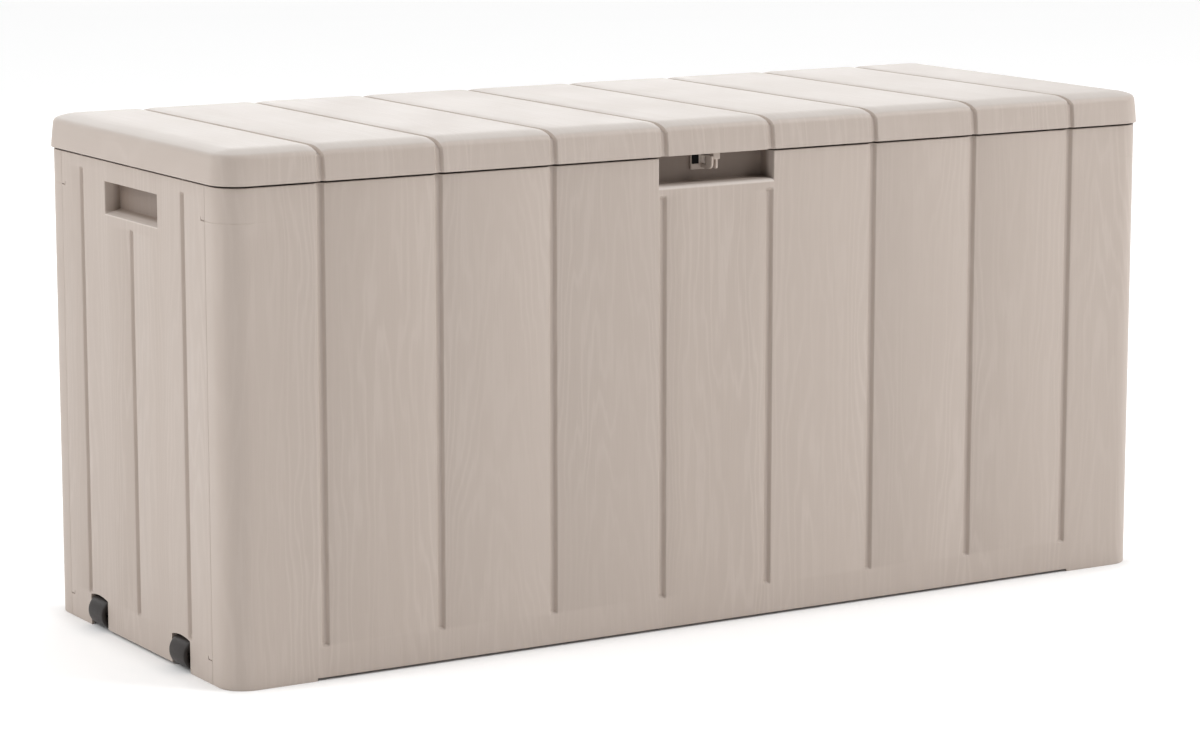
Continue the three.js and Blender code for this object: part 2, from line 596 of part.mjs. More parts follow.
const lidGroup = new THREE.Group();
lidGroup.position.x = CENTRING;
deckBox.add(lidGroup);
add(lidGroup, "lid", lid(), taupe);
add(lidGroup, "lid_hasp", hasp(), taupe);

const eyeFace = EYE_Y - PLATE - SCREW_GAP;
add(walls, "padlock_eye_screw", screw(7), steel, [EYE_SCREW_X, eyeFace, EYE_SCREW_Z]);
["left", "right"].forEach((where, i) => {
  const place = [HASP_SCREWS[i], HASP_Y + PLATE + SCREW_GAP, HASP_SCREW_Z];
  add(lidGroup, `hasp_screw_${where}`, screw(7.5).rotateZ(Math.PI), steel, place);
});

["left", "middle", "right"].forEach((where, i) => {
  add(walls, `hinge_bracket_${where}`, hingeBracket(), taupeInner, [HINGE_X[i], 0, 0]);
  add(walls, `hinge_pin_${where}`, hingePin(), steel, [HINGE_X[i], HINGE_Y, HINGE_Z]);
  screwOffsets.forEach((dx, k) => {
    const place = [HINGE_X[i] + dx, BODY_Y - WALL - GAP - BRACKET - SCREW_GAP, SCREW_Z];
    add(walls, `hinge_screw_${where}_${k + 1}`, screw(6.5), steel, place);
  });
});

export default deckBox;
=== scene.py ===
"""Looks of the deck storage box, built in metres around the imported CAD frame."""
import math

import bmesh
import bpy
import numpy as np
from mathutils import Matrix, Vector


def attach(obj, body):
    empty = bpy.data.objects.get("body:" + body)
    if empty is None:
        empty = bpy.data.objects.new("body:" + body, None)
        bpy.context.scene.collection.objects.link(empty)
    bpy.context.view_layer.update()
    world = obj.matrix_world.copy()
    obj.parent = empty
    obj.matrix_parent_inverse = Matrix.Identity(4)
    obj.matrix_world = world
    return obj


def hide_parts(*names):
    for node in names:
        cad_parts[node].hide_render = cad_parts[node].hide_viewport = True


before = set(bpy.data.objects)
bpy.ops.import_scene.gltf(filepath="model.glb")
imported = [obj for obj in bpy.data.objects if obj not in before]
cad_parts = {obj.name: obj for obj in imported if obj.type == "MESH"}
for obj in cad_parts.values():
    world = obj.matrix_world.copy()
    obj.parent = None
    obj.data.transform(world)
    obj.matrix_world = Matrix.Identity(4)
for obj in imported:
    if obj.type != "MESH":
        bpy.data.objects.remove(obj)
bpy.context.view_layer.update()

# ------------------------------------------------------------------ sizes, in metres
MM = 0.001
ORIGIN_X = 1.5 * MM  # the walls' middle: the rollers reach past the lid at the left-hand end
LENGTH, DEPTH, HEIGHT = 1200 * MM, 460 * MM, 565 * MM  # over the lid
BODY_X, BODY_Y = 597 * MM, 227 * MM  # half the walls' length and depth
RIM_Z, LID_Z = 526 * MM, 528 * MM
WALL = 3 * MM
GAP = 0.35 * MM  # between neighbouring pieces
CORNER_R, CORNER_STEPS = 30 * MM, 14
SEAM_Y = 183 * MM
MOULD_LINE, MOULD_STEP = 489.3 * MM, 0.35 * MM  # the faint step round each corner, level with the upper snaps

# Grooves between the planks.
PLANK = 139 * MM
GROOVES = [(i - 3.5) * PLANK for i in range(8)]
GROOVE_HALF, GROOVE_FLOOR, GROOVE_DEPTH = 4.75 * MM, 2.6 * MM, 4 * MM
GROOVE_MARKS = [GROOVE_HALF + d * MM for d in (0.7, 0.15, -0.3, -0.9)]  # from a groove's middle
GROOVE_MARKS += [GROOVE_FLOOR + 0.5 * MM, GROOVE_FLOOR, GROOVE_FLOOR - 0.6 * MM]
GROOVE_END_Z = 35.6 * MM
GROOVE_RAMP = 3.8 * MM  # length of the slope at a groove's end
RAMP_ROWS = (-0.15, 0.0, 0.15, 0.4, 0.7, 0.9, 1.0, 1.2)  # in ramp lengths
END_GROOVES = [-129 * MM, 0.0, 129 * MM]
END_GROOVE_TOP = 514 * MM

# The walls' feet and rims. The walls stand on their ends, and their bottom edge is raised in between.
FOOT_X = 496 * MM
STEP_Z = 3 * MM
FOOT_BAND = 4 * MM  # only what is lower than this is raised
FOOT_ROWS = [0.0, 0.5 * MM, 1.2 * MM, FOOT_BAND, 20 * MM]
MIDDLE_ROWS = [120 * MM, 240 * MM, 360 * MM]
RIM_ROWS = [RIM_Z - 1.0 * MM, RIM_Z - 0.3 * MM, RIM_Z]

# Ledge inside each long wall that carries the floor, and the gussets under it.
LEDGE_HALF, LEDGE_REACH, LEDGE_LOW, LEDGE_HIGH = 540 * MM, 19 * MM, 6 * MM, 9.65 * MM
GUSSET_XS = [(-520 + 80 * k) * MM for k in range(14)]
GUSSET_HALF, GUSSET_REACH, GUSSET_LOW, GUSSET_HIGH = 1 * MM, 14 * MM, 4 * MM, 6.4 * MM
LEDGE_ROOT = 2 * MM  # both start this deep in the wall

# Flanges on the end walls, behind the seams.
FLANGE_LOW, FLANGE_HIGH, FLANGE_THICK = 16 * MM, 518 * MM, 2.75 * MM

# Finger recess and grip pockets. A lip's profile has pairs of (distance outside the edge, depth).
RECESS_HALF, RECESS_Z, RECESS_DEPTH = 75 * MM, 495.5 * MM, 27 * MM
RECESS_LAND = 10 * MM
HANDLE_HALF, HANDLE_LOW, HANDLE_HIGH, HANDLE_DEPTH = 67 * MM, 469 * MM, 504 * MM, 18 * MM
LIP = [(0.7 * MM, 0.0), (0.3 * MM, 0.12 * MM), (0.0, 0.5 * MM), (-0.15 * MM, 1.3 * MM),
       (-0.6 * MM, RECESS_DEPTH - 0.5 * MM), (-1.2 * MM, RECESS_DEPTH)]
SOFT_LIP = [(4.4 * MM, 0.0), (3.2 * MM, 0.25 * MM), (2.1 * MM, 0.8 * MM), (1.2 * MM, 1.6 * MM),
            (0.5 * MM, 2.7 * MM), (0.0, 4.2 * MM),
            (-0.9 * MM, RECESS_DEPTH - 0.5 * MM), (-1.5 * MM, RECESS_DEPTH)]
SILL_START, SILL_RUN = 0.5 * MM, 5.5 * MM
SILL_ROWS = [d * MM for d in (-0.5, 0.0, 0.5, 1.0, 1.6, 2.3, 3.0, 3.8, 4.5, 5.0)]

# Snap marks beside the seams: a slot and a hook, measured inward from the seam and up from the slot's middle.
SNAP_ZS = (26 * MM, MOULD_LINE)
SNAP_SLOT = (0.9 * MM, 9.4 * MM)
SNAP_EDGE, SNAP_DEPTH = 0.2 * MM, 1.3 * MM
SLOT_HALF = 0.7 * MM
HOOK_MIDDLE, HOOK_HALF, HOOK_TOP = 9.2 * MM, 0.55 * MM, 3.6 * MM

# Rollers and the arched openings that they stand in.
ROLLER_R, ROLLER_HALF, ROLLER_Y, ROLLER_Z = 18 * MM, 20 * MM, 106 * MM, 18.4 * MM
ROLLER_X = -BODY_X - 6 * MM + ROLLER_R
ROLLER_SIDES = 72
ROLLER_CLEARANCE = 3 * MM
ARCH_HALF, ARCH_Z, ARCH_RISE = 22.5 * MM, 35 * MM, 3 * MM
ARCH_FADE = 10 * MM  # the arch is gone this far above ARCH_Z

# Hinges, with the notch in the back wall behind each and the holes for its screws.
HINGE_XS = [-417 * MM, 0.0, 417 * MM]
HINGE_Y, HINGE_Z = 223 * MM, 521 * MM
NOTCH_HALF, NOTCH_Z = 33 * MM, 509 * MM
SCREW_Z, SCREW_HOLE, SCREW_OFFSETS = 488 * MM, 2.2 * MM, (-18 * MM, 18 * MM)
KNUCKLE_HALF, KNUCKLE_R, KNUCKLE_BORE, KNUCKLE_BEVEL, KNUCKLE_SIDES = 12 * MM, 5 * MM, 2.3 * MM, 0.6 * MM, 32

# Lid. Its top bows down towards the skirt, over BROW_INSET and to BROW_ANGLE. LID_MARKS and the crown's start
# are distances from a groove's middle.
LID_CORNER_R, LID_ROUND, LID_DRAFT = 33 * MM, 6.5 * MM, 2.5 * MM
BROW_INSET, BROW_ANGLE, BROW_STEPS = 31 * MM, math.radians(20), 6
PLANK_CROWN = 1.5 * MM
TOP_Z = HEIGHT - PLANK_CROWN
SKIRT_ROW_Z = 543 * MM
LID_MARKS = [m * MM for m in (14.0, 12.0, 10.0, 8.4, 7.0, 5.9, 5.3, 4.8, 4.3, 3.8, 3.3, 2.8, 2.3, 1.4)]
CROWN_START, CROWN_RUN = 3.5 * MM, 10.5 * MM
NARROWING, NARROW_REACH = 0.42, 7 * MM  # how much a groove narrows on the top

# Padlock eye: its flange on the recess's back wall, and its nose.
EYE_FACE = -BODY_Y + RECESS_DEPTH - GAP
EYE_LOW, EYE_HIGH, EYE_REACH = 510 * MM, 525 * MM, 25 * MM


# ------------------------------------------------------------------ node helpers
class Nodes:
    """A material's node tree, with short names for the nodes used here."""

    def __init__(self, name, roughness=0.5, specular=0.5, metallic=0.0):
        self.material = bpy.data.materials.new(name)
        self.material.use_nodes = True
        self.tree = self.material.node_tree
        self.shader = self.tree.nodes["Principled BSDF"]
        self.shader.inputs["Roughness"].default_value = roughness
        self.shader.inputs["Specular IOR Level"].default_value = specular
        self.shader.inputs["Metallic"].default_value = metallic

    def new(self, kind, **settings):
        node = self.tree.nodes.new(kind)
        for key, value in settings.items():
            setattr(node, key, value)
        return node

    def put(self, socket, value):
        if isinstance(value, bpy.types.NodeSocket):
            self.tree.links.new(value, socket)
        else:
            socket.default_value = value

    def math(self, operation, *values):
        node = self.new("ShaderNodeMath", operation=operation)
        for socket, value in zip(node.inputs, values):
            self.put(socket, value)
        return node.outputs[0]

    def add(self, a, b):
        return self.math("ADD", a, b)

    def sub(self, a, b):
        return self.math("SUBTRACT", a, b)

    def mul(self, a, b):
        return self.math("MULTIPLY", a, b)

    def abs(self, a):
        return self.math("ABSOLUTE", a)

    def coords(self):
        separate = self.new("ShaderNodeSeparateXYZ")
        self.put(separate.inputs[0], self.new("ShaderNodeTexCoord").outputs["Object"])
        return separate.outputs

    def vector(self, x, y, z):
        node = self.new("ShaderNodeCombineXYZ")
        for socket, value in zip(node.inputs, (x, y, z)):
            self.put(socket, value)
        return node.outputs[0]

    def noise(self, vector, scale, detail=2.0, roughness=0.5):
        node = self.new("ShaderNodeTexNoise")
        self.put(node.inputs["Vector"], vector)
        for key, value in (("Scale", scale), ("Detail", detail), ("Roughness", roughness)):
            node.inputs[key].default_value = value
        return node.outputs["Fac"]

    def remap(self, value, low, high, to_low=0.0, to_high=1.0):
        node = self.new("ShaderNodeMapRange", clamp=True)
        for socket, item in zip(node.inputs, (value, low, high, to_low, to_high)):
            self.put(socket, item)
        return node.outputs[0]

    def mix_color(self, factor, a, b):
        node = self.new("ShaderNodeMix", data_type="RGBA")
        self.put(node.inputs["Factor"], factor)
        self.put(node.inputs[6], a)
        self.put(node.inputs[7], b)
        return node.outputs[2]

    def bump(self, height, strength, distance):
        node = self.new("ShaderNodeBump")
        self.put(node.inputs["Height"], height)
        node.inputs["Strength"].default_value = strength
        node.inputs["Distance"].default_value = distance
        return node.outputs[0]

    def finish(self, color, roughness=None, normal=None):
        self.put(self.shader.inputs["Base Color"], color)
        if roughness is not None:
            self.put(self.shader.inputs["Roughness"], roughness)
        if normal is not None:
            self.put(self.shader.inputs["Normal"], normal)
        return self.material


TAUPE = (0.500, 0.424, 0.372, 1)
TAUPE_DARK = (0.405, 0.336, 0.288, 1)
TAUPE_PALE = (0.580, 0.505, 0.455, 1)
# Dust with painted top light, for what faces up on the lid.
DUST_AND_TOP_LIGHT = (0.555, 0.515, 0.483, 1)
# Painted highlight for the lower lips of the finger recess and the grip pockets.
LIP_HIGHLIGHT = (0.760, 0.690, 0.640, 1)
# Painted shade for the insides of the finger recess and the grip pockets.
POCKET_SHADE = (0.215, 0.160, 0.128, 1)
GRAIN_SHARE, TONE_SHARE, SCUFF_SHARE = 0.34, 0.16, 0.10
DUST_AND_TOP_LIGHT_SHARE, LIP_HIGHLIGHT_SHARE, POCKET_SHADE_SHARE = 0.70, 0.55, 0.8
RING_DENSITY = 62.0
GRAIN_RELIEF = 0.22 * MM


def wood_grain(name, across_axis, offset, along, specular=0.35, dust_and_lit_top=False):
    """Taupe plastic embossed with wood grain. across_axis is 0 for X or 1 for Y, offset puts a plank's edge
    at a whole number of planks, and along makes the coordinate that the grain runs along."""
    m = Nodes(name, roughness=0.5, specular=specular)
    x, y, z = m.coords()
    across = (x, y)[across_axis]
    plank = m.math("FLOOR", m.math("DIVIDE", m.add(across, offset), PLANK))
    seed = m.new("ShaderNodeTexWhiteNoise", noise_dimensions="1D")
    m.put(seed.inputs["W"], plank)
    chance = m.new("ShaderNodeSeparateColor")
    m.put(chance.inputs[0], seed.outputs["Color"])
    r1, r2, r3 = chance.outputs
    local = m.sub(m.add(across, offset), m.mul(m.add(plank, 0.5), PLANK))
    run = along(m, x, y, z)
    run_seeded = m.add(run, m.mul(r1, 7.3))
    depth = m.mul(plank, 3.17)

    def stretched(across_scale, run_scale):
        return m.vector(m.mul(local, across_scale), m.mul(run_seeded, run_scale), depth)

    # The cathedral: contours of a long, slightly wandering parabola that climbs the plank.
    wander = m.noise(stretched(5.0, 1.6), 2.2, 2.0)
    centre = m.mul(m.sub(r2, 0.5), 0.05)
    side = m.add(m.sub(local, centre), m.mul(m.sub(wander, 0.5), 0.05))
    bow = m.mul(m.math("POWER", m.abs(side), 1.6), 38.0)
    climb = m.mul(run_seeded, m.sub(m.mul(r3, 2.2), 1.1))
    warp = m.mul(m.noise(m.vector(m.mul(local, 9.0), run_seeded, depth), 4.0, 3.0), 0.55)
    rings = m.mul(m.add(m.add(bow, climb), warp), RING_DENSITY)
    ring = m.add(m.mul(m.math("SINE", rings), 0.5), 0.5)
    ring_line = m.math("POWER", ring, 2.5)
    patch = m.noise(stretched(8.0, 2.0), 1.6, 1.0)
    ring_soft = m.mul(ring_line, m.remap(patch, 0.35, 0.65, 0.25, 1.0))

    # Fibres are long thin streaks, with short pores between them and broad bands behind.
    fibre = m.noise(stretched(420.0, 7.0), 1.0, 3.0, 0.6)
    pore = m.remap(m.noise(stretched(900.0, 34.0), 1.0, 1.0), 0.60, 0.74)
    broad = m.noise(stretched(60.0, 1.3), 1.0, 2.0)
    shade = m.add(m.mul(ring_soft, 0.42), m.mul(fibre, 0.38))
    shade = m.add(shade, m.mul(broad, 0.34))
    shade = m.sub(shade, m.mul(pore, 0.10))
    grain = m.mix_color(m.remap(shade, 0.12, 0.92), TAUPE_DARK, TAUPE_PALE)
    base = m.mix_color(GRAIN_SHARE, TAUPE, grain)
    plank_tone = m.mix_color(m.mul(r1, TONE_SHARE), base, TAUPE_PALE)

    # Faint handling marks over the whole box, and a paler grey on what faces up: dust, with painted top
    # light.
    scuff = m.noise(m.vector(x, y, z), 9.0, 5.0, 0.62)
    color = m.mix_color(m.remap(scuff, 0.52, 0.80, 0.0, SCUFF_SHARE), plank_tone, TAUPE_PALE)
    if dust_and_lit_top:
        # Paler where the face points up: dust, with painted top light.
        facing = m.new("ShaderNodeSeparateXYZ")
        m.put(facing.inputs[0], m.new("ShaderNodeTexCoord").outputs["Normal"])
        color = m.mix_color(m.remap(facing.outputs[2], 0.55, 0.97, 0.0, DUST_AND_TOP_LIGHT_SHARE), color, DUST_AND_TOP_LIGHT)

    # The lower lips of the finger recess and the grip pockets are painted pale: a painted highlight along
    # their rounded edges.
    middle, lip_z, half = ((m.sub(x, ORIGIN_X), RECESS_Z - 2.0 * MM, RECESS_HALF),
                           (y, HANDLE_LOW + 0.5 * MM, HANDLE_HALF))[across_axis]
    lip_highlight = m.mul(m.math("LESS_THAN", m.abs(middle), half),
                   m.remap(m.abs(m.sub(z, lip_z)), 1.2 * MM, 2.6 * MM, LIP_HIGHLIGHT_SHARE, 0.0))
    if across_axis == 0:
        lip_highlight = m.mul(lip_highlight, m.math("LESS_THAN", y, 0.0))
    color = m.mix_color(lip_highlight, color, LIP_HIGHLIGHT)

    # The pockets' insides, deeper than the walls' rounded corners, are smooth and painted darker and browner:
    # painted shade.
    from_end = m.sub(BODY_X, m.abs(m.sub(x, ORIGIN_X)))
    from_side = m.sub(BODY_Y, m.abs(y))
    inside = m.remap(m.math("MINIMUM", from_end, from_side), 9 * MM, 17 * MM)
    inside = m.mul(inside, m.math("LESS_THAN", z, RIM_Z))
    color = m.mix_color(m.mul(inside, POCKET_SHADE_SHARE), color, POCKET_SHADE)
    relief = m.add(m.mul(ring_soft, 0.55), m.mul(fibre, 0.55))
    relief = m.sub(relief, m.mul(pore, 0.35))
    normal = m.bump(m.mul(relief, m.sub(1.0, inside)), 0.55, GRAIN_RELIEF)
    sheen = m.add(m.remap(fibre, 0.3, 0.7, 0.44, 0.56), m.remap(scuff, 0.4, 0.7, -0.03, 0.05))
    return m.finish(color, sheen, normal)


def plain_plastic(name, color, pale, roughness, bump=0.08 * MM, specular=0.4):
    """Fine-grained plastic or paint with pale scratches."""
    m = Nodes(name, roughness=roughness, specular=specular)
    x, y, z = m.coords()
    at = m.vector(x, y, z)
    cloud = m.noise(at, 14.0, 4.0, 0.6)
    grit = m.noise(at, 900.0, 2.0, 0.7)
    scratch_at = m.vector(m.mul(x, 18.0), m.mul(y, 260.0), m.mul(z, 18.0))
    scratch = m.remap(m.noise(scratch_at, 1.0, 3.0), 0.63, 0.72)
    base = m.mix_color(m.remap(cloud, 0.3, 0.7, 0.0, 0.5), color, pale)
    worn = m.mix_color(m.mul(scratch, 0.25), base, pale)
    rough = m.add(m.remap(grit, 0.3, 0.7, roughness - 0.06, roughness + 0.06), m.mul(scratch, 0.1))
    return m.finish(worn, rough, m.bump(grit, 0.5, bump))


def zinc(name):
    m = Nodes(name, roughness=0.35, metallic=1.0)
    x, y, z = m.coords()
    brushed = m.noise(m.vector(m.mul(x, 300.0), m.mul(y, 900.0), m.mul(z, 900.0)), 1.0, 2.0)
    cloud = m.noise(m.vector(x, y, z), 60.0, 3.0)
    color = m.mix_color(m.remap(cloud, 0.3, 0.7), (0.55, 0.56, 0.58, 1), (0.72, 0.73, 0.74, 1))
    return m.finish(color, m.remap(brushed, 0.3, 0.7, 0.25, 0.45), m.bump(brushed, 0.3, 0.03 * MM))


def upright(m, x, y, z):
    """Grain runs up the walls."""
    return z


def over_the_edge(m, x, y, z):
    """Runs front to back on the lid's top and carries on down its front and back skirts."""
    drop = m.sub(HEIGHT, z)
    return m.add(y, m.mul(drop, m.math("SIGN", y)))


PLANK_OFFSET = 4.5 * PLANK  # half of nine planks, which numbers them from 0
grain_long = wood_grain("taupe_grain_long_walls", 0, PLANK_OFFSET - ORIGIN_X, upright)
grain_end = wood_grain("taupe_grain_end_walls", 1, PLANK_OFFSET + 10 * MM, upright)
grain_lid = wood_grain("taupe_grain_lid", 0, PLANK_OFFSET - ORIGIN_X, over_the_edge,
                       specular=0.5, dust_and_lit_top=True)
inner_plastic = plain_plastic("taupe_plain", (0.48, 0.40, 0.345, 1), (0.55, 0.47, 0.41, 1), 0.55)
roller_plastic = plain_plastic("roller_dark", (0.014, 0.010, 0.009, 1), (0.034, 0.026, 0.022, 1), 0.46,
                               specular=0.28)
# Near-black finish for the painted shade of the hole beside the padlock eye.
hole_shade_black = plain_plastic("hole_shade_black", (0.006, 0.006, 0.006, 1), (0.012, 0.011, 0.011, 1), 0.7,
                            bump=0.02 * MM, specular=0.1)
steel = zinc("zinc_steel")


# ------------------------------------------------------------------ mesh helpers
def mesh_object(name, points, faces, material, smooth_angle=30.0):
    mesh = bpy.data.meshes.new(name)
    mesh.from_pydata([tuple(p) for p in points], [], faces)
    mesh.validate()
    shell = bmesh.new()
    shell.from_mesh(mesh)
    bmesh.ops.recalc_face_normals(shell, faces=shell.faces)
    shell.to_mesh(mesh)
    shell.free()
    obj = bpy.data.objects.new(name, mesh)
    bpy.context.collection.objects.link(obj)
    mesh.materials.append(material)
    mesh.shade_smooth()
    bpy.context.view_layer.objects.active = obj
    obj.select_set(True)
    bpy.ops.object.shade_smooth_by_angle(angle=math.radians(smooth_angle))
    obj.select_set(False)
    return obj


class Build:
    """Collects vertices and faces of one piece."""

    def __init__(self):
        self.points = []
        self.faces = []

    def add(self, points, faces):
        first = len(self.points)
        self.points.extend(points)
        self.faces.extend([tuple(first + i for i in face) for face in faces])

    def box(self, low, high, bevel=0.0006):
        """A box with bevelled edges: three nested shells of corners."""
        b = min(bevel, *((h - l) * 0.45 for l, h in zip(low, high)))
        points = []
        index = {}
        for sx in (0, 1):
            for sy in (0, 1):
                for sz in (0, 1):
                    for axis in range(3):
                        p = []
                        for k, s in enumerate((sx, sy, sz)):
                            edge = high[k] if s else low[k]
                            inward = 0 if k == axis else (-b if s else b)
                            p.append(edge + inward)
                        index[(sx, sy, sz, axis)] = len(points)
                        points.append(tuple(p))
        faces = []
        for axis in range(3):
            u, v = (axis + 1) % 3, (axis + 2) % 3
            for s in (0, 1):
                ring = []
                for a, c in ((0, 0), (1, 0), (1, 1), (0, 1)):
                    corner = [0, 0, 0]
                    corner[axis], corner[u], corner[v] = s, a, c
                    ring.append(index[(*corner, axis)])
                faces.append(tuple(ring) if s else tuple(reversed(ring)))
            for a in (0, 1):
                for c in (0, 1):
                    ends = []
                    for t in (0, 1):
                        corner = [0, 0, 0]
                        corner[axis], corner[u], corner[v] = t, a, c
                        ends.append(tuple(corner))
                    near, far = ends
                    quad = (index[(*near, u)], index[(*near, v)], index[(*far, v)], index[(*far, u)])
                    faces.append(quad if a != c else quad[::-1])
        for corner in [(i, j, k) for i in (0, 1) for j in (0, 1) for k in (0, 1)]:
            tri = [index[(*corner, axis)] for axis in range(3)]
            faces.append(tuple(tri) if sum(corner) % 2 else tuple(reversed(tri)))
        self.add(points, faces)

    def grid(self, rows, wrap_rows=False, wrap_columns=False):
        """Quads over a grid of points, given as rows of equal length."""
        count = len(rows[0])
        points = [p for row in rows for p in row]
        faces = []
        for i in range(len(rows) if wrap_rows else len(rows) - 1):
            k = (i + 1) % len(rows)
            for j in range(count if wrap_columns else count - 1):
                n = (j + 1) % count
                faces.append((i * count + j, i * count + n, k * count + n, k * count + j))
        self.add(points, faces)

    def object(self, name, material, shift=(ORIGIN_X, 0, 0), smooth_angle=30.0):
        points = np.array(self.points) + np.array(shift)
        return mesh_object(name, points, self.faces, material, smooth_angle)


def clamp01(t):
    return min(1.0, max(0.0, t))


def ease(t):
    t = clamp01(t)
    return t * t * (3 - 2 * t)


def nearest(value, options):
    return min(options, key=lambda option: abs(option - value))


def groove_stations(centre):
    return [centre - m for m in GROOVE_MARKS] + [centre] + [centre + m for m in reversed(GROOVE_MARKS)]


def groove_depth(across):
    """Depth across a groove: rounded lips, steep flanks and a rounded floor."""
    off = abs(across)
    t = (GROOVE_HALF + 0.5 * MM - off) / (GROOVE_HALF - GROOVE_FLOOR + 0.9 * MM)
    return GROOVE_DEPTH * (0.25 * clamp01(t) + 0.75 * ease(t))


class Plate:
    """A wall as a grid of cells between an outer and an inner surface. keep(i, j) leaves cells out."""

    def __init__(self, rows, columns, outer, inner, keep):
        self.build = Build()
        count = len(columns)
        points = [f(r, c) for f in (outer, inner) for r in rows for c in columns]
        half = len(rows) * count
        faces = []
        kept = {(i, j) for i in range(len(rows) - 1) for j in range(count - 1) if keep(i, j)}
        for i, j in kept:
            a, b, c, d = i * count + j, i * count + j + 1, (i + 1) * count + j + 1, (i + 1) * count + j
            faces.append((a, b, c, d))
            faces.append((half + a, half + d, half + c, half + b))
            sides = (((i - 1, j), (a, b)), ((i, j + 1), (b, c)), ((i + 1, j), (c, d)), ((i, j - 1), (d, a)))
            for neighbour, (p, q) in sides:
                if neighbour not in kept:
                    faces.append((q, p, half + p, half + q))
        used = sorted({v for face in faces for v in face})
        rename = {v: n for n, v in enumerate(used)}
        self.build.add([points[v] for v in used], [tuple(rename[v] for v in face) for face in faces])


def spread(values):
    """Sorted, without repeats, to a tenth of a micrometre."""
    return sorted({round(v, 7) for v in values})


# ------------------------------------------------------------------ what all walls share
def pocket_depth(outside, depth, lip=LIP):
    """Depth at a signed distance outside a pocket's edge, rounding over its lip and into its floor."""
    marks = [(d, v if v < depth * 0.5 else v - RECESS_DEPTH + depth) for d, v in lip]
    if outside >= marks[0][0]:
        return 0.0
    for (d0, v0), (d1, v1) in zip(marks, marks[1:]):
        if outside >= d1:
            return v0 + (v1 - v0) * (d0 - outside) / (d0 - d1)
    return depth


def groove_ramp(distance):
    """How much of its depth a groove has at a distance from its end: a straight ramp with eased ends."""
    t = distance / GROOVE_RAMP
    return 0.7 * clamp01(t) + 0.3 * ease(t)


def raise_foot(z, lift):
    """Squeezes the rows of the lowest band together, so that the bottom edge is lift above the ground."""
    return z if z > FOOT_BAND + 0.5 * MM else lift + z * (FOOT_BAND - lift) / FOOT_BAND


def edge_round(z, rows):
    """How far a wall's lowest and highest rows stand back, which rounds its edges."""
    return {rows[-1]: 0.7 * MM, rows[-2]: 0.2 * MM, rows[0]: 0.6 * MM, rows[1]: 0.15 * MM}.get(z, 0.0)


# ------------------------------------------------------------------ long walls
def wall_groove(x, z, is_front):
    centre = nearest(x, GROOVES)
    along = groove_ramp(z - GROOVE_END_Z)
    if is_front and abs(centre) < PLANK:
        along *= groove_ramp(RECESS_Z - RECESS_LAND - z)
    return groove_depth(x - centre) * along


def wall_stations(is_front):
    """A long wall's columns, as (place, outward normal, x on the flat or None, chamfer)."""
    flat = [x for g in GROOVES for x in groove_stations(g)]
    flat += [s * (FOOT_X + d) for s in (-1, 1) for d in (0.0, 0.4 * MM)]
    flat += [s * x for s in (-1, 1) for x in (20 * MM, 45 * MM, 560 * MM)]  # breaks up the widest cells
    if is_front:
        flat += [s * (RECESS_HALF + w + d) for s in (-1, 1) for w in (0, WALL) for d, _ in LIP]
    else:
        flat += [x + s * NOTCH_HALF for x in HINGE_XS for s in (-1, 1)]
        flat += [x + dx + s * SCREW_HOLE for x in HINGE_XS for dx in SCREW_OFFSETS for s in (-1, 1)]
    flat = spread(flat)
    angles = [k / CORNER_STEPS * math.pi / 2 for k in range(CORNER_STEPS + 1)]
    ends = [(-SEAM_Y, 0.45 * MM), (-SEAM_Y - 0.5 * MM, 0.1 * MM), (-SEAM_Y - 1.0 * MM, 0.0)]  # round the seam
    left = [((-BODY_X, y), (-1, 0), None, d) for y, d in ends]
    right = [((BODY_X, y), (1, 0), None, d) for y, d in reversed(ends)]

    def corner(angle, side):
        out_x, out_y = math.cos(angle), math.sin(angle)
        x = side * (BODY_X - CORNER_R + CORNER_R * out_x)
        y = -(BODY_Y - CORNER_R) - CORNER_R * out_y
        return (x, y), (side * out_x, -out_y), None, 0.0

    return (left + [corner(a, -1) for a in angles] + [((x, -BODY_Y), (0, -1), x, 0.0) for x in flat]
            + [corner(a, 1) for a in reversed(angles)] + right)


def wall_rows(is_front):
    rows = FOOT_ROWS + [GROOVE_END_Z + d * GROOVE_RAMP for d in RAMP_ROWS]
    rows += MIDDLE_ROWS + [460 * MM, MOULD_LINE - 0.5 * MM, MOULD_LINE, MOULD_LINE + 0.5 * MM]
    if is_front:
        rows += [RECESS_Z - RECESS_LAND - d * GROOVE_RAMP for d in RAMP_ROWS]
        rows += [RECESS_Z - w - d for w in (0, WALL) for d, _ in SOFT_LIP]
    else:
        rows += [NOTCH_Z, SCREW_Z - SCREW_HOLE, SCREW_Z + SCREW_HOLE]
    return spread(rows + RIM_ROWS)


